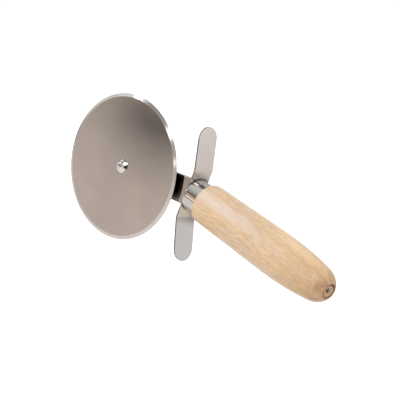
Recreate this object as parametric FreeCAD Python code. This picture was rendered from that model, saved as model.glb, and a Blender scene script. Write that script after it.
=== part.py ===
import FreeCAD, Part

import math
import os

os.makedirs("parts", exist_ok=True)

# Pastry wheel: a steel disc that spins on a riveted axle at the end of a flat cranked
# shank. The shank's tang runs through a finger guard and a ferrule into a turned wooden
# handle. The crank lies in the plane of the shank and lifts the knuckles off the board.
#
# Frame, in millimetres: the origin is the mouth of the small hole in the handle's butt,
# on its axis. +X runs along the handle towards the wheel. +Z is the axle's direction, on the
# side of the rivet head, so the tool lies on its flat side. +Y is the side that the
# shank is cranked to. The shank's middle plane is Z = 0.

# --- handle -------------------------------------------------------------------------
handle_length = 120.0            # end face of the butt to the ferrule's rear rim
belly_diameter = 30.7            # at the thickest place
belly_from_end = 48.0
handle_front_diameter = 28.2     # just behind the rounded front shoulder
shoulder_length = 3.2            # of that shoulder, along the handle
belly_radius = 250.0             # long curve from the front's straight taper to the butt
butt_corner_radius = 15.5        # round that closes the butt
end_face_diameter = 12.6
centre_ring_diameter = 10.8      # groove that the lathe's cup centre leaves in the butt
centre_ring_width = 1.4
centre_ring_depth = 1.8
hang_hole_diameter = 2.2         # pilot hole for a screw eye, on the centre mark
hang_hole_length = 12.0

# --- ferrule ------------------------------------------------------------------------
ferrule_length = 11.3
ferrule_diameter = 22.7
ferrule_wall = 0.9
ferrule_edge_easing = 0.7        # front corner

# --- finger guard -------------------------------------------------------------------
guard_thickness = 1.3
guard_width = 17.6
guard_flat_length = 34.2         # between the two bend lines
guard_wing_length = 30.2         # bend line to rounded tip
front_wing_bend = 18.0           # degrees, towards the wheel, on the -Y side
rear_wing_bend = 22.8            # degrees, towards the handle, on the +Y side
guard_bend_radius = 5.0          # inside of each bend
guard_edge_easing = 0.25         # all round its outline

# --- shank and tang -----------------------------------------------------------------
shank_length = 62.9              # guard to axle
shank_thickness = 3.0
shank_crank = 11.0               # degrees between the handle's axis and the shank
shank_root_width = 19.5          # at the guard
shank_end_radius = 7.7           # rounded end about the axle
shank_edge_easing = 0.3
tang_root_width = 11.0
tang_tip_width = 6.0
tang_length = 78.0               # from the guard's front face into the handle

# --- wheel and axle -----------------------------------------------------------------
wheel_diameter = 100.0
wheel_thickness = 1.8
bevel_width = 2.4                # ground band at the rim, on both faces
edge_thickness = 0.1             # left at the very rim
journal_diameter = 6.0           # part of the rivet that the wheel turns on
rivet_body_diameter = 4.8        # part clamped through spacer, shank and burr
rivet_head_diameter = 9.2
rivet_head_rim = 0.8             # straight edge of the head, under its dome
rivet_head_dome = 1.9
spacer_diameter = 11.0
spacer_thickness = 3.1
burr_diameter = 10.5             # washer that the rivet's tail is hammered over
burr_thickness = 0.9
rivet_tail_diameter = 7.2
rivet_tail_height = 1.4

# --- clearances ---------------------------------------------------------------------
journal_clearance = 0.05         # radial, so that the wheel turns
side_clearance = 0.1             # on each face of the wheel
rivet_clearance = 0.05           # radial, round the clamped part of the rivet
tang_clearance = 0.1             # round the tang in guard, ferrule and handle
spigot_clearance = 0.05          # radial, between the handle and the ferrule's bore
spigot_end_clearance = 0.4       # between the spigot and the ferrule's front wall

# --- places that follow from the sizes ----------------------------------------------
ferrule_radius = ferrule_diameter / 2
ferrule_bore_radius = ferrule_radius - ferrule_wall
ferrule_front = handle_length + ferrule_length
guard_front = ferrule_front + guard_thickness
crank = math.radians(shank_crank)
axle_x = guard_front + shank_length * math.cos(crank)
axle_y = shank_length * math.sin(crank)
shank_top = shank_thickness / 2
spacer_top = shank_top + spacer_thickness
wheel_bottom = spacer_top + side_clearance
wheel_top = wheel_bottom + wheel_thickness
head_seat = wheel_top + side_clearance
burr_bottom = -shank_top - burr_thickness
rivet_hole_radius = rivet_body_diameter / 2 + rivet_clearance

ORIGIN = FreeCAD.Vector(0, 0, 0)
HANDLE_AXIS = FreeCAD.Vector(1, 0, 0)
AXLE_AXIS = FreeCAD.Vector(0, 0, 1)


def at(x, y, z=0.0):
    return FreeCAD.Vector(x, y, z)


def line(start, end):
    return Part.LineSegment(start, end).toShape()


def arc(start, centre, end):
    """The short arc about centre from start to end."""
    outward = (start - centre) + (end - centre)
    outward.normalize()
    middle = centre + outward * (start - centre).Length
    return Part.Arc(start, middle, end).toShape()


def soft_corner(start, corner, end):
    """A smooth curve from start to end that leans into the corner between them."""
    curve = Part.BezierCurve()
    curve.setPoles([start, corner, end])
    return curve.toShape()


def closed(points):
    return [line(a, b) for a, b in zip(points, points[1:] + points[:1])]


def plate(edges, thickness):
    """A flat sheet of the outline in edges, with its middle plane at Z = 0."""
    sheet = Part.Face(Part.Wire(edges)).extrude(AXLE_AXIS * thickness)
    return sheet.translated(AXLE_AXIS * (-thickness / 2))


def turned_about_handle(edges):
    """Turned about X from a profile in the XY plane, where Y is the radius."""
    return Part.Face(Part.Wire(edges)).revolve(ORIGIN, HANDLE_AXIS, 360)


def turned_about_axle(edges):
    """Turned about the axle from a profile in the XZ plane, where X is the radius."""
    solid = Part.Face(Part.Wire(edges)).revolve(ORIGIN, AXLE_AXIS, 360)
    return solid.translated(at(axle_x, axle_y))


def circles_meet(centre_a, radius_a, centre_b, radius_b):
    """Where two circles in the XY plane cross, on the right of the line from a to b."""
    between = centre_b - centre_a
    gap = between.Length
    between.normalize()
    right = at(between.y, -between.x)
    forward = (radius_a**2 - radius_b**2 + gap**2) / (2 * gap)
    sideways = math.sqrt(radius_a**2 - forward**2)
    return centre_a + between * forward + right * sideways


# --- handle and ferrule -------------------------------------------------------------
def touching_point(point, centre, radius):
    """Where a line from point touches the upper side of a circle that lies behind it."""
    reach = (point - centre).Length
    turn = math.atan2(point.y - centre.y, point.x - centre.x) + math.acos(radius / reach)
    return centre + at(math.cos(turn), math.sin(turn)) * radius


def handle_outline():
    """Half of the turned outline, from the middle of the butt round to the axis."""
    butt = at(0, end_face_diameter / 2)
    front_radius = handle_front_diameter / 2
    shoulder = at(handle_length - shoulder_length, front_radius)
    shoulder_corner = at(handle_length, front_radius)
    rim = at(handle_length, ferrule_radius)
    spigot_radius = ferrule_bore_radius - spigot_clearance
    spigot_end = ferrule_front - ferrule_wall - spigot_end_clearance

    belly_centre = at(belly_from_end, belly_diameter / 2 - belly_radius)
    inner = belly_radius - butt_corner_radius
    corner_centre = circles_meet(belly_centre, inner, butt, butt_corner_radius)
    outward = corner_centre - belly_centre
    outward.normalize()
    blend = belly_centre + outward * belly_radius
    taper_start = touching_point(shoulder, belly_centre, belly_radius)
    return [
        line(ORIGIN, butt),
        arc(butt, corner_centre, blend),
        arc(blend, belly_centre, taper_start),
        line(taper_start, shoulder),
        soft_corner(shoulder, shoulder_corner, rim),
        line(rim, at(handle_length, spigot_radius)),
        line(at(handle_length, spigot_radius), at(spigot_end, spigot_radius)),
        line(at(spigot_end, spigot_radius), at(spigot_end, 0)),
        line(at(spigot_end, 0), ORIGIN),
    ]


def rod(radius, start, end):
    """A round bar on the handle's axis between two places on it."""
    return Part.makeCylinder(radius, end - start, at(start, 0), HANDLE_AXIS)


def centre_mark():
    """What the lathe's cup centre and its pilot hole take out of the butt."""
    ring_radius = centre_ring_diameter / 2
    ring = rod(ring_radius, 0, centre_ring_depth)
    ring = ring.cut(rod(ring_radius - centre_ring_width, 0, centre_ring_depth))
    return ring.fuse(rod(hang_hole_diameter / 2, 0, hang_hole_length))


def tang(clearance=0.0):
    """The tapered tang, or with a clearance the space that it is driven into."""
    start = guard_front + shank_thickness
    root = tang_root_width / 2 + clearance
    tip = tang_tip_width / 2 + clearance
    end = guard_front - tang_length - clearance
    point = end - tip
    corners = [at(start, root), at(end, tip), at(point, 0), at(end, -tip), at(start, -root)]
    return plate(closed(corners), shank_thickness + 2 * clearance)


def handle():
    body = turned_about_handle(handle_outline())
    return body.cut(tang(tang_clearance)).cut(centre_mark())


def ferrule():
    """A drawn cap over the handle's spigot, slotted for the tang."""
    wall = ferrule_front - ferrule_wall
    corner = at(ferrule_front, ferrule_radius)
    side = corner - at(ferrule_edge_easing, 0)
    front = corner - at(0, ferrule_edge_easing)
    cap = turned_about_handle([
        line(at(handle_length, ferrule_bore_radius), at(handle_length, ferrule_radius)),
        line(at(handle_length, ferrule_radius), side),
        line(side, front),
        line(front, at(ferrule_front, 0)),
        line(at(ferrule_front, 0), at(wall, 0)),
        line(at(wall, 0), at(wall, ferrule_bore_radius)),
        line(at(wall, ferrule_bore_radius), at(handle_length, ferrule_bore_radius)),
    ])
    return cap.cut(tang(tang_clearance))


# --- finger guard -------------------------------------------------------------------
def guard_bend_setback(bend):
    """How far before its bend line the flat ends and the curve begins."""
    neutral_radius = guard_bend_radius + guard_thickness / 2
    return neutral_radius * math.tan(math.radians(bend) / 2)


def guard_wing(bend):
    """The +Y wing with its bend towards -X, on a strip whose middle plane is X = 0."""
    half_thickness = guard_thickness / 2
    half_width = guard_width / 2
    setback = guard_bend_setback(bend)
    start = guard_flat_length / 2 - setback
    end = start + guard_wing_length - setback - half_width
    pivot = at(-guard_bend_radius - half_thickness, start)

    lower = at(half_thickness, start, -half_width)
    upper = at(half_thickness, start, half_width)
    depth = at(-guard_thickness, 0)
    section = Part.Face(Part.Wire(closed([lower, upper, upper + depth, lower + depth])))
    curve = section.revolve(pivot, AXLE_AXIS, bend)

    lower_end = at(half_thickness, end, -half_width)
    upper_end = at(half_thickness, end, half_width)
    tip = at(half_thickness, end + half_width)
    outline = [
        line(lower, lower_end),
        Part.Arc(lower_end, tip, upper_end).toShape(),
        line(upper_end, upper),
        line(upper, lower),
    ]
    blade = Part.Face(Part.Wire(outline)).extrude(depth)
    blade.rotate(pivot, AXLE_AXIS, bend)
    return curve.fuse(blade)


def guard_rim_edges(strip):
    """The edges round the strip's outline: all but its bend lines and its corners."""
    rim = []
    for edge in strip.Edges:
        is_bend_line = edge.BoundBox.ZLength > guard_width / 2 and edge.Curve.TypeId.endswith("Line")
        is_corner = abs(edge.Length - guard_thickness) < edge.Tolerance * 10
        if not is_bend_line and not is_corner:
            rim.append(edge)
    return rim


def finger_guard():
    """A strip bent into a shallow S, clamped between the shank's shoulders and ferrule."""
    half_flat = guard_flat_length / 2
    rear_end = half_flat - guard_bend_setback(rear_wing_bend)
    front_end = half_flat - guard_bend_setback(front_wing_bend)
    middle = Part.makeBox(
        guard_thickness,
        rear_end + front_end,
        guard_width,
        at(-guard_thickness / 2, -front_end, -guard_width / 2),
    )
    front_wing = guard_wing(front_wing_bend)
    front_wing.rotate(ORIGIN, AXLE_AXIS, 180)
    strip = middle.fuse([guard_wing(rear_wing_bend), front_wing]).removeSplitter()
    strip = strip.makeChamfer(guard_edge_easing, guard_rim_edges(strip))
    strip.translate(at(ferrule_front + guard_thickness / 2, 0))
    return strip.cut(tang(tang_clearance))


# --- shank --------------------------------------------------------------------------
def shank_blade():
    """The flat tapered arm, cut off square to the handle where it meets the guard."""
    root = at(0, shank_root_width / 2)
    reach = math.hypot(shank_length, root.y)
    lean = math.asin(shank_end_radius / reach) - math.atan2(root.y, shank_length)
    along = at(math.cos(lean), math.sin(lean))
    touch = root + along * math.sqrt(reach**2 - shank_end_radius**2)
    heel = root - along * root.y
    end = at(shank_length + shank_end_radius, 0)
    other_touch = at(touch.x, -touch.y)
    other_heel = at(heel.x, -heel.y)
    outline = [
        line(heel, touch),
        Part.Arc(touch, end, other_touch).toShape(),
        line(other_touch, other_heel),
        line(other_heel, heel),
    ]
    arm = plate(outline, shank_thickness)
    arm.rotate(ORIGIN, AXLE_AXIS, shank_crank)
    arm.translate(at(guard_front, 0))
    waste = Part.makeBox(
        shank_root_width,
        2 * shank_root_width,
        2 * shank_thickness,
        at(guard_front - shank_root_width, -shank_root_width, -shank_thickness),
    )
    arm = arm.cut(waste)
    eased = [
        edge for edge in arm.Edges
        if edge.BoundBox.ZLength < shank_top and edge.BoundBox.XLength > shank_top
    ]
    return arm.makeChamfer(shank_edge_easing, eased)


def shank():
    hole = Part.makeCylinder(
        rivet_hole_radius, 2 * shank_thickness, at(axle_x, axle_y, -shank_thickness), AXLE_AXIS
    )
    return shank_blade().fuse(tang()).removeSplitter().cut(hole)


# --- wheel and axle -----------------------------------------------------------------
def washer(diameter, bottom, thickness):
    outer = Part.makeCylinder(diameter / 2, thickness, at(axle_x, axle_y, bottom), AXLE_AXIS)
    hole = Part.makeCylinder(
        rivet_hole_radius, thickness, at(axle_x, axle_y, bottom), AXLE_AXIS
    )
    return outer.cut(hole)


def cutting_wheel():
    """A disc ground to a double bevel at its rim."""
    bore = journal_diameter / 2 + journal_clearance
    rim = wheel_diameter / 2
    face = rim - bevel_width
    middle = (wheel_bottom + wheel_top) / 2
    half_edge = edge_thickness / 2
    return turned_about_axle(closed([
        at(bore, 0, wheel_bottom),
        at(face, 0, wheel_bottom),
        at(rim, 0, middle - half_edge),
        at(rim, 0, middle + half_edge),
        at(face, 0, wheel_top),
        at(bore, 0, wheel_top),
    ]))


def dome(rim_radius, rim_height, top_height):
    """Arc in the XZ plane from a rim to the top of a dome on the axis."""
    rise = top_height - rim_height
    radius = (rim_radius**2 + rise**2) / (2 * rise)
    return arc(at(rim_radius, 0, rim_height), at(0, 0, top_height - radius), at(0, 0, top_height))


def axle_rivet():
    """Domed head, journal, clamped body and hammered tail, in one piece."""
    head = rivet_head_diameter / 2
    journal = journal_diameter / 2
    body = rivet_body_diameter / 2
    tail = rivet_tail_diameter / 2
    dome_start = head_seat + rivet_head_rim
    top = dome_start + rivet_head_dome
    bottom = burr_bottom - rivet_tail_height
    return turned_about_axle([
        line(at(0, 0, bottom), at(0, 0, top)),
        dome(head, dome_start, top),
        line(at(head, 0, dome_start), at(head, 0, head_seat)),
        line(at(head, 0, head_seat), at(journal, 0, head_seat)),
        line(at(journal, 0, head_seat), at(journal, 0, spacer_top)),
        line(at(journal, 0, spacer_top), at(body, 0, spacer_top)),
        line(at(body, 0, spacer_top), at(body, 0, burr_bottom)),
        line(at(body, 0, burr_bottom), at(tail, 0, burr_bottom)),
        dome(tail, burr_bottom, bottom),
    ])


pieces = {
    "handle": handle(),
    "ferrule": ferrule(),
    "finger_guard": finger_guard(),
    "shank": shank(),
    "spacer_washer": washer(spacer_diameter, shank_top, spacer_thickness),
    "rivet_burr": washer(burr_diameter, burr_bottom, burr_thickness),
    "axle_rivet": axle_rivet(),
    "cutting_wheel": cutting_wheel(),
}
for name, shape in pieces.items():
    shape.exportStep("parts/" + name + ".step")
    print(name, shape.ShapeType, len(shape.Solids), shape.isValid(), round(shape.Volume, 1))
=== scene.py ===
import math

import bmesh
import bpy
from mathutils import Matrix, Vector


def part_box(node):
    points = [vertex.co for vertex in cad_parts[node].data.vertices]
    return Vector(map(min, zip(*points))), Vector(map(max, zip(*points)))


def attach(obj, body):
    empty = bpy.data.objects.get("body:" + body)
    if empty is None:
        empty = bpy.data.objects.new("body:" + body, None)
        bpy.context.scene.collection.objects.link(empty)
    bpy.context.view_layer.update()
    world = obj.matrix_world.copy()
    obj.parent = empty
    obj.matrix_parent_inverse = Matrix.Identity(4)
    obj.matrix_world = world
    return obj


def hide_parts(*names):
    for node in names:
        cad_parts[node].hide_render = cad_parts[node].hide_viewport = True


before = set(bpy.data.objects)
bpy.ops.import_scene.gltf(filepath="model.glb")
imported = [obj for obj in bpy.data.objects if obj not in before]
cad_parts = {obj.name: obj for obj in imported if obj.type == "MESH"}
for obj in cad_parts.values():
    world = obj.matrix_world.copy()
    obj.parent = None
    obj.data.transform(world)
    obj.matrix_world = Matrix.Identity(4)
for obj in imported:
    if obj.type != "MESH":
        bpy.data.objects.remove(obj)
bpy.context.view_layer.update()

# Looks of the pastry cutter wheel, in metres, in the frame of the CAD model: +X runs along the
# handle towards the wheel, +Z is the axle's direction on the side of the rivet head, and +Y is
# the side that the shank is cranked to. Each turned or bent piece is modelled again here with
# smooth surfaces in the place of its CAD solid; the two flat washers are the CAD solids themselves.

# --- places and sizes read from the frame -------------------------------------------
handle_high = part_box("handle")[1]
ferrule_low, ferrule_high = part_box("ferrule")
guard_low, guard_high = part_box("finger_guard")
shank_low, shank_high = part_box("shank")
wheel_low, wheel_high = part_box("cutting_wheel")
rivet_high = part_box("axle_rivet")[1]
spacer_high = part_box("spacer_washer")[1]
burr_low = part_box("rivet_burr")[0]

handle_front = ferrule_low.x
ferrule_front = ferrule_high.x
ferrule_radius = ferrule_high.z
guard_width = guard_high.z - guard_low.z
wheel_centre = (wheel_low + wheel_high) / 2
wheel_radius = (wheel_high.x - wheel_low.x) / 2

# --- forms that the boxes don't give ------------------------------------------------
belly_radius = handle_high.z
belly_from_end = 0.048
belly_curve = 0.250              # radius of the long curve from the taper to the butt
handle_front_radius = 0.0141     # just behind the rounded shoulder
shoulder_length = 0.0032
butt_corner = 0.0155             # radius of the round that closes the butt
butt_face_radius = 0.0063
mark_ring_radius = 0.0054        # groove in the butt left by the lathe's cup centre
mark_ring_inner = 0.0040
mark_ring_depth = 0.0018
mark_lip = 0.00025               # easing of the edges of the lathe's marks
countersink_radius = 0.0031      # cone that the lathe's point leaves round the hole
countersink_depth = 0.0020
hang_hole_radius = 0.0011
hang_hole_depth = 0.012
hang_hole_point = 0.001          # cone that the drill leaves at the bottom of the hole

ferrule_wall = 0.0009
ferrule_corner = 0.0006
ferrule_bead = 0.0004            # turned-in rear rim

guard_thickness = 0.0013
guard_front = ferrule_front + guard_thickness
guard_middle = ferrule_front + guard_thickness / 2
guard_flat = 0.0342              # between the two bend lines
guard_wing = 0.03018             # bend line to rounded tip
front_wing_bend = math.radians(18.0)
rear_wing_bend = math.radians(22.8)
guard_bend_radius = 0.00565      # at the middle of the sheet
guard_edge_easing = 0.00022

shank_length = math.hypot(wheel_centre.x - guard_front, wheel_centre.y)
shank_crank = math.atan2(wheel_centre.y, wheel_centre.x - guard_front)
shank_root_width = 0.0195
shank_end_radius = 0.0077
shank_edge_easing = 0.0003

bevel_width = 0.0024
edge_thickness = 0.0001
journal_radius = 0.0030
journal_clearance = 0.00005      # radial, between the journal and the wheel's bore
head_clearance = 0.0001          # between the wheel's face and the rivet head
rivet_body_radius = 0.0024
rivet_head_radius = rivet_high.x - wheel_centre.x
rivet_head_rim = 0.0008
rivet_head_easing = 0.00025
rivet_tail_radius = 0.0036
rivet_tail_height = 0.0014


# --- mesh helpers -------------------------------------------------------------------
def arc(centre, start, end, steps):
    """Points on the short arc about centre from start to end, both included."""
    centre, start, end = Vector(centre), Vector(start), Vector(end)
    first = math.atan2(start.y - centre.y, start.x - centre.x)
    turn = math.atan2(end.y - centre.y, end.x - centre.x) - first
    turn = (turn + math.pi) % (2 * math.pi) - math.pi
    radius = (start - centre).length
    angles = [first + turn * i / steps for i in range(steps + 1)]
    return [centre + radius * Vector((math.cos(a), math.sin(a))) for a in angles]


def soft_corner(start, corner, end, steps):
    """Points on a smooth curve from start to end that leans into the corner between them."""
    start, corner, end = Vector(start), Vector(corner), Vector(end)
    shares = [i / steps for i in range(steps + 1)]
    return [(1 - t) ** 2 * start + 2 * t * (1 - t) * corner + t * t * end for t in shares]


def stretch(start, end, steps):
    """Points on a straight line, both ends included."""
    return [Vector(start).lerp(Vector(end), i / steps) for i in range(steps + 1)]


def axes(x_axis, y_axis, z_axis):
    """The matrix that points the three axes of a piece in these directions."""
    return Matrix((x_axis, y_axis, z_axis)).transposed().to_4x4()


def finished(name, mesh_builder, material, body, node, sharpest=32):
    """The piece made from a bmesh, on its body and in the place of a CAD node.
    Edges that turn by more than sharpest degrees stay crisp."""
    mesh = bpy.data.meshes.new(name)
    bmesh.ops.recalc_face_normals(mesh_builder, faces=mesh_builder.faces)
    mesh_builder.to_mesh(mesh)
    mesh_builder.free()
    mesh.polygons.foreach_set("use_smooth", [True] * len(mesh.polygons))
    mesh.set_sharp_from_angle(angle=math.radians(sharpest))
    mesh.materials.append(material)
    piece = bpy.data.objects.new(name, mesh)
    bpy.context.scene.collection.objects.link(piece)
    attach(piece, body)
    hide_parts(node)
    return piece


def lathe(outline, place, closed=False, segments=192):
    """A bmesh turned from (along, radius) points; place(along, radius, angle) sets each one."""
    builder = bmesh.new()
    rings = []
    for along, radius in outline:
        count = 1 if radius < 1e-7 else segments
        angles = [2 * math.pi * i / segments for i in range(count)]
        rings.append([builder.verts.new(place(along, radius, angle)) for angle in angles])
    pairs = list(zip(rings, rings[1:]))
    if closed:
        pairs.append((rings[-1], rings[0]))
    for ring, following in pairs:
        if len(ring) == len(following) == 1:
            continue
        for i in range(segments):
            j = (i + 1) % segments
            corners = [ring[i % len(ring)], ring[j % len(ring)]]
            corners += [following[j % len(following)], following[i % len(following)]]
            builder.faces.new(dict.fromkeys(corners))
    return builder


def about_handle(along, radius, angle):
    return along, radius * math.cos(angle), radius * math.sin(angle)


def about_axle(along, radius, angle):
    x = wheel_centre.x + radius * math.cos(angle)
    y = wheel_centre.y + radius * math.sin(angle)
    return x, y, along


def sheet(outline, thickness):
    """A bmesh plate of the (x, y) outline, with its middle plane at Z = 0."""
    builder = bmesh.new()
    face = builder.faces.new([builder.verts.new((x, y, -thickness / 2)) for x, y in outline])
    raised = bmesh.ops.extrude_face_region(builder, geom=[face])
    moved = [v for v in raised["geom"] if isinstance(v, bmesh.types.BMVert)]
    bmesh.ops.translate(builder, verts=moved, vec=(0, 0, thickness))
    return builder


def ease_edges(piece, width):
    """Rounds the sharp edges over a small width and keeps the flat faces flat."""
    bevel = piece.modifiers.new("eased edges", "BEVEL")
    bevel.width = width
    bevel.segments = 3
    bevel.limit_method = "ANGLE"
    bevel.angle_limit = math.radians(40)
    normals = piece.modifiers.new("flat faces", "WEIGHTED_NORMAL")
    normals.keep_sharp = False
    normals.weight = 100


# --- material helpers ---------------------------------------------------------------
class Graph:
    """Builds a node tree one node at a time; place is the position or direction it starts from."""

    def __init__(self, tree, starts_from):
        self.nodes = tree.nodes
        self.links = tree.links
        self.coordinates = self.nodes.new("ShaderNodeTexCoord").outputs
        self.place = self.coordinates[starts_from]

    def link(self, value, socket):
        if isinstance(value, bpy.types.NodeSocket):
            self.links.new(value, socket)
        else:
            socket.default_value = value

    def math(self, operation, first, second=0.0, third=0.0):
        node = self.nodes.new("ShaderNodeMath")
        node.operation = operation
        for value, socket in zip((first, second, third), node.inputs):
            self.link(value, socket)
        return node.outputs[0]

    def times(self, first, second):
        return self.math("MULTIPLY", first, second)

    def blend(self, first, first_share, second, second_share):
        """Both values, each times its share, added up."""
        return self.math("MULTIPLY_ADD", first, first_share, self.times(second, second_share))

    def reach(self, first, second):
        """The distance that two distances at right angles make."""
        return self.math("SQRT", self.blend(first, first, second, second))

    def scaled(self, scale, offset=(0, 0, 0)):
        """The object's own coordinates, scaled per axis to repeats per metre."""
        node = self.nodes.new("ShaderNodeMapping")
        node.inputs["Scale"].default_value = scale
        node.inputs["Location"].default_value = offset
        self.links.new(self.place, node.inputs["Vector"])
        return node.outputs["Vector"]

    def noise(self, vector, detail, roughness):
        node = self.nodes.new("ShaderNodeTexNoise")
        node.inputs["Scale"].default_value = 1.0
        node.inputs["Detail"].default_value = detail
        node.inputs["Roughness"].default_value = roughness
        self.links.new(vector, node.inputs["Vector"])
        return node.outputs["Fac"]

    def parts(self, vector):
        node = self.nodes.new("ShaderNodeSeparateXYZ")
        self.links.new(vector, node.inputs["Vector"])
        return node.outputs

    def joined(self, x, y, z):
        node = self.nodes.new("ShaderNodeCombineXYZ")
        for value, socket in zip((x, y, z), node.inputs):
            self.link(value, socket)
        return node.outputs["Vector"]

    def spread(self, value, low, high, to_low=0.0, to_high=1.0):
        """value moved from the range low to high onto another range, held at its ends."""
        node = self.nodes.new("ShaderNodeMapRange")
        node.interpolation_type = "SMOOTHSTEP"
        for number, socket in zip((value, low, high, to_low, to_high), node.inputs):
            self.link(number, socket)
        return node.outputs["Result"]

    def ramp(self, value, *stops):
        node = self.nodes.new("ShaderNodeValToRGB")
        band = node.color_ramp
        while len(band.elements) < len(stops):
            band.elements.new(0.5)
        for element, (position, colour) in zip(band.elements, stops):
            element.position = position
            element.color = (*colour, 1.0)
        self.links.new(value, node.inputs["Fac"])
        return node.outputs["Color"]

    def mix(self, share, first, second, blend="MIX"):
        node = self.nodes.new("ShaderNodeMix")
        node.data_type = "RGBA"
        node.blend_type = blend
        sockets = [s for s in node.inputs if s.type == "RGBA"]
        self.link(share, node.inputs["Factor"])
        for value, socket in zip((first, second), sockets):
            self.link(value if isinstance(value, bpy.types.NodeSocket) else (*value, 1.0), socket)
        return next(s for s in node.outputs if s.type == "RGBA")

    def towards(self, direction):
        """How far place points towards a direction: 1 along it and -1 against it."""
        node = self.nodes.new("ShaderNodeVectorMath")
        node.operation = "DOT_PRODUCT"
        self.links.new(self.place, node.inputs[0])
        node.inputs[1].default_value = direction
        return node.outputs["Value"]

    def rays(self):
        return self.nodes.new("ShaderNodeLightPath").outputs


class Recipe(Graph):
    """A material that ends in one Principled shader."""

    def __init__(self, name, **settings):
        self.material = bpy.data.materials.new(name)
        self.material.use_nodes = True
        super().__init__(self.material.node_tree, "Object")
        self.shader = self.nodes["Principled BSDF"]
        for socket, value in settings.items():
            self.shader.inputs[socket.replace("_", " ")].default_value = value

    def bump(self, height, depth):
        """Raises the surface by depth metres where height is 1."""
        node = self.nodes.new("ShaderNodeBump")
        node.inputs["Strength"].default_value = 1.0
        node.inputs["Distance"].default_value = depth
        self.links.new(height, node.inputs["Height"])
        self.links.new(node.outputs["Normal"], self.shader.inputs["Normal"])

    def set(self, socket, value):
        self.links.new(value, self.shader.inputs[socket])

    def let_through(self, share):
        """Makes the surface clear where share is 1 and leaves it as it is where share is 0."""
        clear = self.nodes.new("ShaderNodeBsdfTransparent")
        mixer = self.nodes.new("ShaderNodeMixShader")
        self.links.new(share, mixer.inputs[0])
        self.links.new(self.shader.outputs[0], mixer.inputs[1])
        self.links.new(clear.outputs[0], mixer.inputs[2])
        self.links.new(mixer.outputs[0], self.nodes["Material Output"].inputs["Surface"])


class OnHandle(Recipe):
    """A material for a piece that the handle's axis runs through."""

    def __init__(self, name, **settings):
        super().__init__(name, **settings)
        self.x, self.y, self.z = self.parts(self.place)
        self.off_axis = self.reach(self.y, self.z)

    def side(self, direction):
        """1 down the side of the handle that faces a (y, z) direction, and less beside it."""
        facing = self.blend(self.y, direction[0], self.z, direction[1])
        return self.math("DIVIDE", facing, self.off_axis)


# --- wood ---------------------------------------------------------------------------
# A side of the handle is its (y, z) direction. A range is where a change starts and where it is
# complete: along the handle, from the butt, unless it says from the axis.
pith_below = 0.034               # the growth rings' centre, outside the handle
pith_beside = 0.021
pith_wander_beside = 0.0036
pith_wander_below = 0.0026
growth_rings_per_metre = 620.0
# Painted highlight: a pale streak down the side where the handle's sheen lies.
sheen_side = (-0.575, 0.818)
sheen_range = (0.025, 0.115)
# Painted light: a bright golden streak down the side of the handle facing the top of the picture,
# near the butt.
lit_side = (-0.958, 0.287)
lit_start_range = (0.001, 0.006)
lit_end_range = (0.030, 0.065)
browned_range = (0.0, 0.048)
stained_range = (0.002, 0.016)
mark_colour_overlap = 0.0004     # how far the ring's colours reach past its edge, and then fade
mark_depth_range = (0.00002, 0.0005)
# Dirt in the lathe's marks, with painted shade that darkens them most on this side.
shaded_mark_side = (-0.10, -0.99)
bruised_side = (-0.62, 0.79)
bruise_depth_range = (0.0010, 0.0036)
bruise_from_axis_range = (0.0060, 0.0066)
# Painted shade: the hang hole and a rim round it are painted dark.
hole_rim_width = 0.0010
fibre_relief = 0.00005
golden_wood = ((0.68, 0.450, 0.240), (0.76, 0.535, 0.305), (0.80, 0.595, 0.370))
rosy_wood = ((0.66, 0.440, 0.280), (0.74, 0.530, 0.360), (0.79, 0.605, 0.435))
# Painted highlight.
painted_sheen = (0.795, 0.665, 0.575)
# Painted light.
painted_light_gold = (0.93, 0.665, 0.375)
fleck_brown = (0.50, 0.285, 0.15)
oil_brown = (0.50, 0.278, 0.105)
stain_brown = (0.42, 0.235, 0.14)
# Painted light: paler wood that lifts the shade in the lathe's marks.
painted_light_wood = (0.92, 0.70, 0.49)
# Dirt and painted shade in the lathe's marks.
mark_dirt_and_shade = (0.20, 0.118, 0.072)
bruise_brown = (0.28, 0.165, 0.135)
# Painted shade in the hang hole.
painted_hole_shade = (0.05, 0.030, 0.018)


def growth_ring_lines(wood):
    """Growth rings about a pith line that lies outside the handle, wandering along it."""
    wander = wood.noise(wood.scaled((14, 60, 60)), 3, 0.5)
    across = wood.math("ADD", wood.y, pith_beside)
    across = wood.math("MULTIPLY_ADD", wander, pith_wander_beside, across)
    height = wood.math("ADD", wood.z, pith_below)
    height = wood.math("MULTIPLY_ADD", wander, pith_wander_below, height)
    count = wood.times(wood.reach(across, height), growth_rings_per_metre)
    return wood.spread(wood.math("FRACT", count), 0.45, 1.0)


def heartwood(wood, fibres, streaks, pink):
    """Golden and rosy wood, shaded by its fibres and growth rings."""
    tone = wood.blend(fibres, 0.65, streaks, 0.35)
    tone = wood.math("MULTIPLY_ADD", growth_ring_lines(wood), -0.045, tone)
    stops = (0.34, 0.50, 0.66)
    golden = wood.ramp(tone, *zip(stops, golden_wood))
    rosy = wood.ramp(tone, *zip(stops, rosy_wood))
    colour = wood.mix(wood.spread(pink, 0.42, 0.60), golden, rosy)
    mottle = wood.noise(wood.scaled((150, 1250, 1250), (4, 8, 6)), 2, 0.6)
    grey = wood.ramp(mottle, (0.30, (0.82,) * 3), (0.70, (1.14,) * 3))
    return wood.mix(1.0, colour, grey, "MULTIPLY")


def painted_sheen_streak(wood, pink):
    """Share of a pale streak painted down the side where the handle's sheen lies: a painted
    highlight, strongest at the ferrule.
    """
    facing = wood.math("MULTIPLY_ADD", pink, 0.06, wood.side(sheen_side))
    along = wood.spread(wood.x, *sheen_range, 0.0, 0.85)
    return wood.times(wood.spread(facing, 0.952, 1.040), along)


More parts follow.
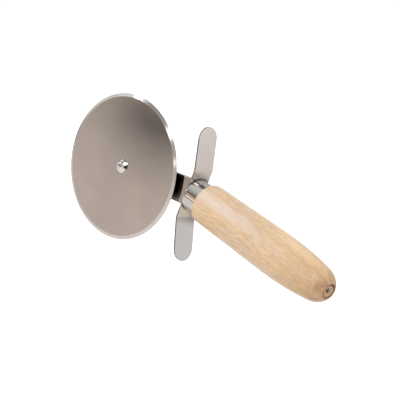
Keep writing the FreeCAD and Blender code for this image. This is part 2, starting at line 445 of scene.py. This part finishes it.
def painted_light_streak(wood, pink):
    """Share of a bright golden streak painted down the side facing the top of the picture, beside
    the painted highlight, in the rear half: painted light.
    """
    facing = wood.math("MULTIPLY_ADD", pink, 0.10, wood.side(lit_side))
    streak = wood.spread(facing, 0.96, 1.09)
    streak = wood.times(streak, wood.spread(wood.x, *lit_end_range, 0.8, 0.0))
    return wood.times(streak, wood.spread(wood.x, *lit_start_range))


def browned_butt(wood, colour, streaks, lit_streak):
    """The turned end drinks the oil, so it browns towards the butt and most in the end grain."""
    browned = wood.spread(wood.x, *browned_range, 0.95, 0.0)
    browned = wood.times(browned, wood.spread(streaks, 0.25, 0.75, 0.35, 1.0))
    browned = wood.times(browned, wood.math("SUBTRACT", 1.0, lit_streak))
    colour = wood.mix(browned, colour, oil_brown)
    stain = wood.noise(wood.scaled((60, 190, 190), (2, 6, 3)), 4, 0.65)
    near_end = wood.spread(wood.x, *stained_range, 0.7, 0.0)
    return wood.mix(wood.times(wood.spread(stain, 0.46, 0.66), near_end), colour, stain_brown)


def lathe_marks(wood, colour):
    """Paler wood painted in the lathe's marks to lift their shade, which is painted light; dirt
    with painted shade in them; a bruise beside them; and painted shade in and round the hole.
    """
    outer = mark_ring_radius + mark_colour_overlap
    marks = wood.spread(wood.off_axis, outer, outer + mark_colour_overlap, 0.9, 0.0)
    depth_share = wood.spread(wood.off_axis, countersink_radius, mark_ring_inner, 0.45, 1.0)
    marks = wood.times(marks, depth_share)
    marks = wood.times(marks, wood.spread(wood.x, *mark_depth_range))
    # Painted light: the marks are painted paler to lift the shade in them.
    colour = wood.mix(wood.times(marks, 0.50), colour, painted_light_wood)
    # Dirt in the marks, with painted shade that is darkest on one side of the ring.
    dirt_and_shade = wood.spread(wood.side(shaded_mark_side), -0.5, 0.8, 0.10, 0.80)
    colour = wood.mix(wood.times(marks, dirt_and_shade), colour, mark_dirt_and_shade)
    bruise = wood.spread(wood.side(bruised_side), 0.93, 0.995)
    bruise = wood.times(bruise, wood.spread(wood.off_axis, *bruise_from_axis_range))
    bruise = wood.times(bruise, wood.spread(wood.x, *bruise_depth_range, 0.60, 0.0))
    colour = wood.mix(bruise, colour, bruise_brown)
    # Painted shade: the hang hole and a rim round its mouth are painted dark.
    hole_rim = hang_hole_radius + hole_rim_width
    hole = wood.spread(wood.off_axis, hang_hole_radius, hole_rim, 0.95, 0.0)
    return wood.mix(hole, colour, painted_hole_shade)


def beech():
    """Pale turned beech under a thin satin oil, its grain along the handle."""
    wood = OnHandle("beech_oiled", Specular_IOR_Level=0.5, Coat_Weight=0.6,
                    Coat_Roughness=0.34, Coat_IOR=1.6)
    fibres = wood.noise(wood.scaled((95, 900, 900)), 4, 0.6)
    fine = wood.noise(wood.scaled((200, 2600, 2600)), 3, 0.6)
    streaks = wood.noise(wood.scaled((34, 330, 330), (3, 1, 2)), 3, 0.55)
    pink = wood.noise(wood.scaled((45, 240, 240), (1, 5, 9)), 3, 0.6)
    flecks = wood.spread(wood.noise(wood.scaled((330, 1700, 1700), (7, 0, 4)), 2, 0.5), 0.56, 0.68)
    lit_streak = painted_light_streak(wood, pink)
    colour = heartwood(wood, fibres, streaks, pink)
    # Painted highlight: a pale streak along the handle's sheen.
    colour = wood.mix(painted_sheen_streak(wood, pink), colour, painted_sheen)
    # Painted light: the golden streak down the side facing the top of the picture.
    colour = wood.mix(lit_streak, colour, painted_light_gold)
    colour = wood.mix(wood.times(flecks, 0.36), colour, fleck_brown)
    colour = browned_butt(wood, colour, streaks, lit_streak)
    wood.set("Base Color", lathe_marks(wood, colour))
    wood.set("Roughness", wood.spread(fibres, 0.3, 0.7, 0.52, 0.40))
    relief = wood.math("MULTIPLY_ADD", fine, 0.5, fibres)
    relief = wood.math("MULTIPLY_ADD", flecks, -0.6, relief)
    wood.bump(relief, fibre_relief)
    return wood.material


# --- metals -------------------------------------------------------------------------
# On the guard a range is measured from the handle's axis towards the rear wing, unless it says
# otherwise.
# Painted reflection: a beige band on the guard's flat, from near the ferrule to the rear wing's
# bend, stands for the wooden handle mirrored there.
wood_reflection_range = (0.002, 0.008)
wood_reflection_stop = (-0.002, 0.001)     # before and after the rear wing's bend line
# Painted shade: the guard darkens round the ferrule on the front wing's side.
ferrule_shade_range = (-0.004, 0.004)
ferrule_shade_reach = 0.0055             # out from the ferrule's side
# Painted shade: a dark ring on the guard's rear face where the ferrule meets it.
seam_shade_gap = 0.0002
seam_shade_reach = 0.0012
seam_shade_depth = (-0.001, -0.0005)  # behind the guard's front face
# The narrow sides of the wings are rougher, and painted dark as edge shade.
sheared_range = (0.008, 0.013)   # towards either wing
bend_line_range = (0.0004, 0.0022)      # to either side of a bend line
guard_tint = (0.66, 0.625, 0.61)
guard_shade = (0.61, 0.575, 0.56)
# Painted reflection of the wooden handle on the guard's flat.
painted_wood_reflection = (0.62, 0.54, 0.44)
# Painted edge shade.
painted_edge_shade = (0.27, 0.255, 0.245)
# Painted shade round the ferrule.
painted_ferrule_shade = (0.26, 0.235, 0.22)
# Painted shade in the seam.
painted_seam_shade = (0.12, 0.10, 0.085)


def finish_metal(metal, grain, mottle, tint, shade, roughness, depth):
    """Varies the roughness, darkens the tint to its shade share in places, raises the grain."""
    metal.set("Roughness", metal.spread(mottle, 0.3, 0.7, *roughness))
    darker = tuple(shade * value for value in tint)
    metal.set("Base Color", metal.ramp(mottle, (0.35, darker), (0.65, tint)))
    metal.bump(grain, depth)
    return metal.material


def steel(name, tint, roughness, brushing, depth):
    """Stainless steel with a fine brushed grain; brushing is its repeats per metre by axis."""
    metal = Recipe(name, Metallic=1.0)
    grain = metal.noise(metal.scaled(brushing), 4, 0.65)
    clouds = metal.noise(metal.scaled((45, 45, 45)), 3, 0.5)
    mottle = metal.blend(grain, 0.6, clouds, 0.4)
    return finish_metal(metal, grain, mottle, tint, 0.92, roughness, depth)


def turned_steel(name, tint, roughness, rings_per_metre, depth):
    """Steel ground or turned about the axle, with fine rings round it."""
    metal = Recipe(name, Metallic=1.0)
    x, y, z = metal.parts(metal.place)
    dx = metal.math("SUBTRACT", x, wheel_centre.x)
    dy = metal.math("SUBTRACT", y, wheel_centre.y)
    outwards = metal.times(metal.reach(dx, dy), rings_per_metre)
    around = metal.times(metal.math("ARCTAN2", dy, dx), 1.6)
    grain = metal.noise(metal.joined(outwards, around, z), 4, 0.6)
    clouds = metal.noise(metal.scaled((38, 38, 38)), 3, 0.55)
    mottle = metal.blend(grain, 0.45, clouds, 0.55)
    return finish_metal(metal, grain, mottle, tint, 0.93, roughness, depth)


def sheared_edges(metal, from_middle):
    """Share of sheared edge: the narrow sides of the strip, away from the ferrule."""
    facing_x = metal.parts(metal.coordinates["Normal"])["X"]
    narrow = metal.spread(metal.math("ABSOLUTE", facing_x), 0.45, 0.85, 1.0, 0.0)
    return metal.times(narrow, metal.spread(from_middle, *sheared_range))


def guard_painted_light(metal, colour, edge):
    """Painted light on the guard: a beige band from the ferrule to the bend of the rear wing, a
    painted reflection of the wooden handle; grey painted shade round the ferrule on the other
    side; the narrow sides painted dark as edge shade; and painted shade in the seam between guard
    and ferrule."""
    # Painted reflection of the wooden handle: a beige band on the flat towards the rear wing.
    wood_reflection_ends = [guard_flat / 2 + beyond for beyond in wood_reflection_stop]
    before_bend = metal.spread(metal.y, *wood_reflection_ends, 1.0, 0.0)
    reflection_share = metal.times(metal.spread(metal.y, *wood_reflection_range), before_bend)
    colour = metal.mix(reflection_share, colour, painted_wood_reflection)
    # Painted shade: the narrow sides of the wings are painted dark.
    colour = metal.mix(edge, colour, painted_edge_shade)
    # Painted shade: grey round the ferrule on the front wing's side, fading outwards.
    ferrule_shade = metal.spread(metal.off_axis, ferrule_radius, ferrule_radius + ferrule_shade_reach, 0.55, 0.0)
    ferrule_shade = metal.times(ferrule_shade, metal.spread(metal.y, *ferrule_shade_range, 1.0, 0.0))
    colour = metal.mix(ferrule_shade, colour, painted_ferrule_shade)
    # Painted shade: a dark ring on the guard's rear face, close round the ferrule's seat.
    seam = ferrule_radius + seam_shade_gap
    seam_shade = metal.spread(metal.off_axis, seam, seam + seam_shade_reach, 0.85, 0.0)
    rear_ends = [guard_front + behind for behind in seam_shade_depth]
    rear_face = metal.spread(metal.x, *rear_ends, 1.0, 0.0)
    return metal.mix(metal.times(seam_shade, rear_face), colour, painted_seam_shade)


def guard_sheet():
    """Satin sheet, rougher at its sheared edges and where the bends stretched it."""
    metal = OnHandle("guard_satin", Metallic=1.0)
    grain = metal.noise(metal.scaled((900, 60, 900)), 4, 0.65)
    clouds = metal.noise(metal.scaled((45, 45, 45)), 3, 0.5)
    mottle = metal.blend(grain, 0.6, clouds, 0.4)
    from_middle = metal.math("ABSOLUTE", metal.y)
    edge = sheared_edges(metal, from_middle)
    colour = metal.ramp(mottle, (0.35, guard_shade), (0.65, guard_tint))
    metal.set("Base Color", guard_painted_light(metal, colour, edge))
    from_bend = metal.math("ABSOLUTE", metal.math("SUBTRACT", from_middle, guard_flat / 2))
    stretched = metal.spread(from_bend, *bend_line_range, 0.16, 0.0)
    rough = metal.spread(mottle, 0.3, 0.7, 0.15, 0.19)
    rough = metal.math("MULTIPLY_ADD", edge, 0.22, rough)
    metal.set("Roughness", metal.math("ADD", rough, stretched))
    metal.bump(grain, 5e-7)
    return metal.material


handle_wood = beech()
ferrule_steel = steel("ferrule_polished", (0.66, 0.63, 0.60), (0.06, 0.10), (60, 900, 900), 4e-7)
guard_steel = guard_sheet()
shank_steel = steel("shank_polished", (0.64, 0.60, 0.57), (0.07, 0.10), (70, 1100, 1100), 3e-7)
wheel_steel = turned_steel("wheel_ground", (0.66, 0.615, 0.585), (0.12, 0.16), 3000.0, 3e-7)
rivet_steel = turned_steel("rivet_polished", (0.76, 0.72, 0.68), (0.05, 0.09), 2600.0, 3e-7)
washer_steel = turned_steel("washer_turned", (0.58, 0.56, 0.54), (0.24, 0.36), 3600.0, 2e-6)


# --- handle and ferrule -------------------------------------------------------------
def circles_meet(centre_a, radius_a, centre_b, radius_b):
    """Where two circles cross, on the right of the line from a to b."""
    between = centre_b - centre_a
    gap = between.length
    between.normalize()
    forward = (radius_a**2 - radius_b**2 + gap**2) / (2 * gap)
    sideways = math.sqrt(radius_a**2 - forward**2)
    return centre_a + between * forward + Vector((between.y, -between.x)) * sideways


def centre_mark_outline():
    """From the bottom of the hang hole, up its cone and over the ring groove to the butt."""
    half_lip = mark_lip / 2
    return [Vector(point) for point in (
        (hang_hole_depth, 0.0),
        (hang_hole_depth - hang_hole_point, hang_hole_radius),
        (countersink_depth, hang_hole_radius),
        (half_lip, countersink_radius - half_lip),
        (0.0, countersink_radius + half_lip),
        (0.0, mark_ring_inner - mark_lip),
        (mark_lip, mark_ring_inner),
        (mark_ring_depth, mark_ring_inner + half_lip),
        (mark_ring_depth, mark_ring_radius - 2 * mark_lip),
        (0.0, mark_ring_radius + mark_lip),
    )]


def handle_outline():
    """From the bottom of the hang hole, out over the butt and along to the ferrule."""
    butt = Vector((0.0, butt_face_radius))
    centre = Vector((belly_from_end, belly_radius - belly_curve))
    corner_centre = circles_meet(centre, belly_curve - butt_corner, butt, butt_corner)
    blend = centre + (corner_centre - centre).normalized() * belly_curve
    shoulder = Vector((handle_front - shoulder_length, handle_front_radius))
    to_shoulder = shoulder - centre
    turn = math.atan2(to_shoulder.y, to_shoulder.x) + math.acos(belly_curve / to_shoulder.length)
    taper_start = centre + belly_curve * Vector((math.cos(turn), math.sin(turn)))
    front_corner = (handle_front, handle_front_radius)
    rim = (handle_front, ferrule_radius)
    outline = centre_mark_outline()
    outline += arc(corner_centre, butt, blend, steps=24)
    outline += arc(centre, blend, taper_start, steps=40)[1:]
    outline += stretch(taper_start, shoulder, steps=20)[1:]
    outline += soft_corner(shoulder, front_corner, rim, steps=12)[1:]
    return outline + [Vector((handle_front, 0.0))]


def ferrule_outline():
    """Closed section of the drawn cap: outside, rounded front corner, front wall, inside."""
    corner = Vector((ferrule_front - ferrule_corner, ferrule_radius - ferrule_corner))
    inner = ferrule_radius - ferrule_wall
    side_start = (handle_front + 2 * ferrule_bead, ferrule_radius)
    side_end = (corner.x, ferrule_radius)
    front = (ferrule_front, corner.y)
    outline = [(handle_front, inner), (handle_front, ferrule_radius - ferrule_bead)]
    outline += [(handle_front + 0.5 * ferrule_bead, ferrule_radius)]
    outline += stretch(side_start, side_end, steps=6)
    outline += arc(corner, side_end, front, steps=8)[1:]
    outline += [(ferrule_front, 0.0), (ferrule_front - ferrule_wall, 0.0)]
    outline += [(ferrule_front - ferrule_wall, inner)]
    return [Vector(point) for point in outline]


handle = finished("handle_turned", lathe(handle_outline(), about_handle), handle_wood,
                  "tool", "handle")
finished("ferrule_drawn", lathe(ferrule_outline(), about_handle, closed=True),
         ferrule_steel, "tool", "ferrule")


# --- finger guard -------------------------------------------------------------------
wings = ((1, rear_wing_bend), (-1, front_wing_bend))     # side of the handle and bend


def bend_setback(bend):
    """How far before its bend line the flat ends and the curve begins."""
    return guard_bend_radius * math.tan(bend / 2)


def bend_start(bend):
    return guard_flat / 2 - bend_setback(bend)


def wing_tip_centre(bend):
    """Distance along the sheet from its middle to the centre of the rounded tip."""
    straight = guard_wing - bend_setback(bend) - guard_width / 2
    return bend_start(bend) + guard_bend_radius * bend + straight


def bent(point, side, bend):
    """A point of the flat sheet (along, across, off) moved to where the bend takes it."""
    along, across, off = point
    along *= side
    start = bend_start(bend)
    if along <= start:
        return guard_middle + off, side * along, across
    turn = min((along - start) / guard_bend_radius, bend)
    beyond = max(along - start - guard_bend_radius * bend, 0.0)
    radius = guard_bend_radius + side * off
    sunk = radius * math.cos(turn) - guard_bend_radius - beyond * math.sin(turn)
    gone = start + radius * math.sin(turn) + beyond * math.cos(turn)
    return guard_middle + side * sunk, side * gone, across


def wing_tip(side, bend, steps=28):
    """Points of the rounded tip of the flat strip."""
    half = guard_width / 2
    centre = wing_tip_centre(bend)
    turns = [math.pi * (0.5 - i / steps) for i in range(steps + 1)]
    return [(side * (centre + half * math.cos(t)), half * side * math.sin(t)) for t in turns]


def finger_guard(bend_steps=8):
    """The flat strip, cut across at each bend and then bent."""
    builder = sheet([point for side, bend in wings for point in wing_tip(side, bend)],
                    guard_thickness)
    for side, bend in wings:
        for i in range(bend_steps + 1):
            along = side * (bend_start(bend) + guard_bend_radius * bend * i / bend_steps)
            everything = builder.verts[:] + builder.edges[:] + builder.faces[:]
            bmesh.ops.bisect_plane(
                builder, geom=everything, plane_co=(along, 0, 0), plane_no=(1, 0, 0))
    for vertex in builder.verts:
        side, bend = wings[0] if vertex.co.x > 0 else wings[1]
        vertex.co = bent(vertex.co, side, bend)
    return builder


guard = finished("finger_guard_bent", finger_guard(), guard_steel, "tool",
                 "finger_guard")
ease_edges(guard, guard_edge_easing)


# --- shank --------------------------------------------------------------------------
def shank_outline():
    """The cranked arm, square against the guard and round about the axle."""
    root = Vector((0.0, shank_root_width / 2))
    reach = math.hypot(shank_length, root.y)
    lean = math.asin(shank_end_radius / reach) - math.atan2(root.y, shank_length)
    along = Vector((math.cos(lean), math.sin(lean)))
    touch = root + along * math.sqrt(reach**2 - shank_end_radius**2)
    crank = Matrix.Rotation(shank_crank, 2)
    origin = Vector((guard_front, 0.0))
    sides = []
    for mirror in (1, -1):
        corner = crank @ Vector((root.x, mirror * root.y))
        direction = crank @ Vector((along.x, mirror * along.y))
        corner -= direction * corner.x / direction.x
        sides.append((origin + corner, origin + crank @ Vector((touch.x, mirror * touch.y))))
    end = wheel_centre.xy + crank @ Vector((shank_end_radius, 0.0))
    (upper, upper_touch), (lower, lower_touch) = sides
    round_end = arc(wheel_centre.xy, upper_touch, end, steps=14)
    round_end += arc(wheel_centre.xy, end, lower_touch, steps=14)[1:]
    return [upper] + round_end + [lower]


shank = finished("shank_arm", sheet(shank_outline(), shank_high.z - shank_low.z), shank_steel,
                 "tool", "shank")
ease_edges(shank, shank_edge_easing)


# --- wheel and rivet ----------------------------------------------------------------
def wheel_outline(face_steps=12):
    """Closed section: bore, faces, ground bevels and the fine edge."""
    bore = journal_radius + journal_clearance
    face = wheel_radius - bevel_width
    half_edge = edge_thickness / 2
    upper = stretch((wheel_high.z, bore), (wheel_high.z, face), face_steps)
    lower = [Vector((wheel_low.z, point.y)) for point in reversed(upper)]
    edge = [Vector((wheel_centre.z + half_edge, wheel_radius))]
    edge += [Vector((wheel_centre.z - half_edge, wheel_radius))]
    return upper + edge + lower


def dome(rim_radius, rim_height, top_height, steps):
    """Points of a dome from its rim to its top on the axle, as (height, radius)."""
    rise = top_height - rim_height
    radius = (rim_radius**2 + rise**2) / (2 * rise)
    return arc((top_height - radius, 0.0), (rim_height, rim_radius), (top_height, 0.0), steps)


def rivet_outline():
    """From the tip of the hammered tail, up the body and journal and over the domed head."""
    seat = wheel_high.z + head_clearance
    tail_tip = burr_low.z - rivet_tail_height
    outline = dome(rivet_tail_radius, burr_low.z, tail_tip, steps=10)[::-1]
    outline += [Vector(point) for point in (
        (burr_low.z, rivet_body_radius),
        (spacer_high.z, rivet_body_radius),
        (spacer_high.z, journal_radius),
        (seat, journal_radius),
        (seat, rivet_head_radius - rivet_head_easing),
        (seat + rivet_head_easing, rivet_head_radius),
    )]
    return outline + dome(rivet_head_radius, seat + rivet_head_rim, rivet_high.z, steps=16)


finished("cutting_wheel_ground", lathe(wheel_outline(), about_axle, closed=True, segments=320),
         wheel_steel, "wheel", "cutting_wheel", sharpest=12)
rivet = finished("axle_rivet_domed", lathe(rivet_outline(), about_axle, segments=96),
                 rivet_steel, "tool", "axle_rivet")
for node in ("spacer_washer", "rivet_burr"):
    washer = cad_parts[node]
    washer.data.materials.clear()
    washer.data.materials.append(washer_steel)


# --- camera -------------------------------------------------------------------------
picture_back = Vector((-0.59016, -0.31718, 0.74237)).normalized()   # from the tool to the camera
picture_up = Vector((0.47458, -0.88021, 0.00120))
picture_right = picture_up.cross(picture_back).normalized()
camera_distance = 1.7632
aim = Vector((0.12725, 0.00208, -0.00231))

camera_data = bpy.data.cameras.new("camera")
camera_data.lens = 237.49
camera_data.sensor_width = 36.0
camera_data.clip_start = 0.1
camera_data.clip_end = 50.0
camera = bpy.data.objects.new("camera", camera_data)
bpy.context.scene.collection.objects.link(camera)
camera_turn = axes(picture_right, picture_back.cross(picture_right), picture_back)
camera.matrix_world = Matrix.Translation(aim + picture_back * camera_distance) @ camera_turn
bpy.context.scene.camera = camera


def in_picture(left, up, back):
    """A direction from the tool given as seen in the picture; back is towards the camera."""
    return (-left * picture_right + up * picture_up + back * picture_back).normalized()


# --- floor --------------------------------------------------------------------------
floor_half_side = 4.0
floor_gap = 0.0003               # keeps the paper clear of the tool
# Painted shade: the paper greys up the picture, where only the steel mirrors it.
far_shade_range = (0.012, 0.050)   # up the picture from below the wheel's front
# Painted light: low in the picture the paper glows evenly to glossy rays.
painted_glow_range = (-0.067, -0.060)
painted_glow_strength = 0.82
camera_glow = 0.92
faint_glow = 0.02
white_paper = (0.93, 0.93, 0.93)
# Painted shade.
painted_far_shade = (0.10, 0.10, 0.10)
black = (0.0, 0.0, 0.0)


def prop(name, builder, material, place):
    """A piece of the studio made from a bmesh and set at a place."""
    mesh = bpy.data.meshes.new(name)
    builder.to_mesh(mesh)
    builder.free()
    mesh.materials.append(material)
    piece = bpy.data.objects.new(name, mesh)
    piece.matrix_world = place
    bpy.context.scene.collection.objects.link(piece)
    return piece


def rest_plane():
    """Point and upward normal of the plane that the tool lies on. It rests on the handle's
    shoulder, the rear wing of the guard and the tail of the rivet."""
    shoulder = Vector((handle_front - shoulder_length, 0.0, -handle_front_radius))
    wing_edge = (wing_tip_centre(rear_wing_bend), guard_low.z, 0.0)
    wing = Vector(bent(wing_edge, 1, rear_wing_bend))
    tail = Vector((wheel_centre.x, wheel_centre.y, burr_low.z - rivet_tail_height))
    normal = (tail - wing).cross(shoulder - wing).normalized()
    if normal.z < 0:
        normal.negate()
    lowest = min(normal.dot(v.co) for piece in (handle, guard, rivet) for v in piece.data.vertices)
    rim = Vector((wheel_high.x, wheel_centre.y, wheel_centre.z))
    return rim - normal * (normal.dot(rim) - lowest), normal


def paper():
    """White paper. To the camera it glows, so that it photographs as plain white. Its colour greys
    towards the top of the picture, where only the steel mirrors it: painted shade. Low in the
    picture it mirrors as an even glow, which the guard's lower wing shows: painted light."""
    white = Recipe("floor_paper", Roughness=0.9, Specular_IOR_Level=0.1,
                   Emission_Color=(1, 1, 1, 1))
    up = white.parts(white.place)["Y"]
    rays = white.rays()
    # Painted light: low in the picture the paper glows evenly to glossy rays, in place of its
    # shade.
    even = white.times(rays["Is Glossy Ray"], white.spread(up, *painted_glow_range, 1.0, 0.0))
    # Painted shade: the paper's colour greys up the picture.
    tone = white.mix(white.spread(up, *far_shade_range), white_paper, painted_far_shade)
    white.set("Base Color", white.mix(even, tone, black))
    glow = white.math("MULTIPLY_ADD", rays["Is Camera Ray"], camera_glow, faint_glow)
    white.set("Emission Strength", white.math("MULTIPLY_ADD", even, painted_glow_strength, glow))
    # Seen from below, the floor lets the view through, so that it never hides the tool.
    white.let_through(white.nodes.new("ShaderNodeNewGeometry").outputs["Backfacing"])
    return white.material


def floor():
    """A square sheet of paper that the tool lies on."""
    point, normal = rest_plane()
    builder = bmesh.new()
    bmesh.ops.create_grid(builder, x_segments=1, y_segments=1, size=floor_half_side)
    turn = axes(picture_up.cross(normal), picture_up, normal)
    place = Matrix.Translation(point - normal * floor_gap) @ turn
    piece = prop("floor", builder, paper(), place)


# --- world --------------------------------------------------------------------------
# How bright the room is by height, from straight down the picture, at 0, to straight up, at 1.
low_down = (0.33, (0.99, 0.98, 0.96))
room_levels = ((0.44, 0.72), (0.52, 0.53), (0.66, 0.45), (0.80, 0.36), (1.0, 0.30))
backdrop = (0.88, 0.875, 0.87)

# Direction from the tool (left, up, towards the camera), half angle in degrees and colour.
# Where two patches meet, the later one covers the earlier one.
patches = (
    ((0.99, 0.00, 0.10), 15.0, (0.62, 0.56, 0.525)),        # grey on the left
    ((0.90, -0.38, -0.22), 22.0, (0.96, 0.93, 0.92)),       # white, left and low
    ((0.98, -0.16, 0.00), 6.0, (1.05, 0.90, 0.74)),         # warm light at its upper edge
    ((0.65, 0.71, 0.28), 12.0, (0.60, 0.60, 0.60)),         # grey, left and high
    ((0.95, 0.20, 0.22), 6.0, (0.95, 0.74, 0.60)),          # warm light on the left
    ((0.87, 0.40, 0.29), 5.5, (0.20, 0.155, 0.125)),        # dark gap above the warm light
    ((0.98, 0.06, 0.17), 5.0, (2.30, 1.90, 1.50)),          # bright warm light, far left
    ((0.35, 0.93, 0.14), 27.0, (0.76, 0.76, 0.76)),         # pale ceiling
    ((0.88, 0.36, -0.28), 17.0, (0.88, 0.89, 0.87)),        # pale, left and beyond the tool
    ((0.88, 0.47, -0.03), 7.0, (1.02, 1.10, 1.15)),         # cool light, left and high
    ((0.61, 0.77, -0.18), 9.0, (1.70, 1.70, 1.70)),         # bright light, high on the left
    ((0.10, -0.25, 0.96), 26.0, (0.03, 0.02, 0.015)),       # dark behind the camera
    ((-0.65, 0.43, 0.63), 6.0, (4.40, 4.20, 4.00)),         # small lamp on the right
    ((0.708, 0.040, 0.705), 2.0, (3.40, 3.40, 3.40)),       # smallest lamp, left of the camera
)
patch_core = 0.35                # share of its half angle over which a patch is even


def warm(level):
    return level, level * 0.97, level * 0.94


def studio_world():
    """A pale room, white low down and grey overhead, with soft patches of light and shade.
    The camera itself sees a plain backdrop."""
    world = bpy.data.worlds.new("studio")
    bpy.context.scene.world = world
    world.use_nodes = True
    room = Graph(world.node_tree, "Generated")
    height = room.math("MULTIPLY_ADD", room.towards(picture_up), 0.5, 0.5)
    colour = room.ramp(height, low_down, *((at, warm(level)) for at, level in room_levels))
    for direction, half_angle, tint in patches:
        near = room.towards(in_picture(*direction))
        edge = math.cos(math.radians(half_angle))
        core = math.cos(math.radians(patch_core * half_angle))
        colour = room.mix(room.spread(near, edge, core), colour, tint)
    colour = room.mix(room.rays()["Is Camera Ray"], colour, backdrop)
    room.links.new(colour, room.nodes["Background"].inputs["Color"])


# --- lights and flag ----------------------------------------------------------------
softbox_distance = 1.1
softboxes = (                    # name, direction in the picture, width, height, watts
    ("key_softbox", (0.25, 0.45, 0.86), 0.60, 0.60, 4.6),
    ("upper_softbox", (-0.10, 0.72, 0.68), 0.60, 0.40, 2.6),
    ("edge_softbox", (0.86, 0.49, 0.12), 0.12, 0.12, 0.5),
    ("front_softbox", (0.75, 0.32, 0.58), 0.10, 0.10, 0.13),
)
flag_distance = 0.17             # from the wheel, the way its face mirrors the camera's view
flag_half_length = 0.130
flag_half_width = 0.074
flag_slant = (0.75, 0.66)        # how its long way leans: across and up in its own plane
shaded_spot = wheel_centre + Vector((-0.0144, -0.0450, 0.0))    # where its middle is mirrored


def soft_light(name, direction, width, height, power):
    """A rectangular softbox that faces the tool from the given direction."""
    data = bpy.data.lights.new(name, "AREA")
    data.shape = "RECTANGLE"
    data.size = width
    data.size_y = height
    data.energy = power
    lamp = bpy.data.objects.new(name, data)
    lamp.location = aim + direction * softbox_distance
    lamp.rotation_mode = "QUATERNION"
    lamp.rotation_quaternion = direction.to_track_quat("Z", "Y")
    lamp.visible_camera = False
    bpy.context.scene.collection.objects.link(lamp)


def flag_cloth():
    """Black cloth, thick in the middle and thinning out to nothing at the rim. Its faint glow is
    painted light.
    """
    cloth = Recipe("flag_cloth", Base_Color=(0.01, 0.01, 0.01, 1), Roughness=1.0,
                   Emission_Color=(0.03, 0.03, 0.03, 1), Emission_Strength=1.0)
    distance = cloth.nodes.new("ShaderNodeVectorMath")
    distance.operation = "LENGTH"
    cloth.links.new(cloth.place, distance.inputs[0])
    inwards = cloth.math("SUBTRACT", 1.0, distance.outputs["Value"])
    cover = cloth.times(inwards, inwards)
    cloth.let_through(cloth.math("SUBTRACT", 1.0, cover))
    return cloth.material


def dark_flag():
    """A graded black flag beside the wheel, seen only as the shade in its mirror image."""
    away = Vector((-picture_back.x, -picture_back.y, picture_back.z))
    tall = picture_up.normalized()
    wide = away.cross(tall).normalized()
    long_way = flag_slant[0] * wide + flag_slant[1] * tall
    builder = bmesh.new()
    bmesh.ops.create_circle(builder, cap_ends=True, segments=64, radius=1.0)
    turn = axes(long_way, away.cross(long_way), away)
    size = Matrix.Diagonal((flag_half_length, flag_half_width, 1.0, 1.0))
    place = Matrix.Translation(shaded_spot + away * flag_distance) @ turn @ size
    flag = prop("dark_flag", builder, flag_cloth(), place)
    flag.visible_camera = False
    flag.visible_diffuse = False
    flag.visible_shadow = False


floor()
studio_world()
dark_flag()
for name, direction, width, height, power in softboxes:
    soft_light(name, in_picture(*direction), width, height, power)
bpy.context.scene.view_settings.view_transform = "Standard"
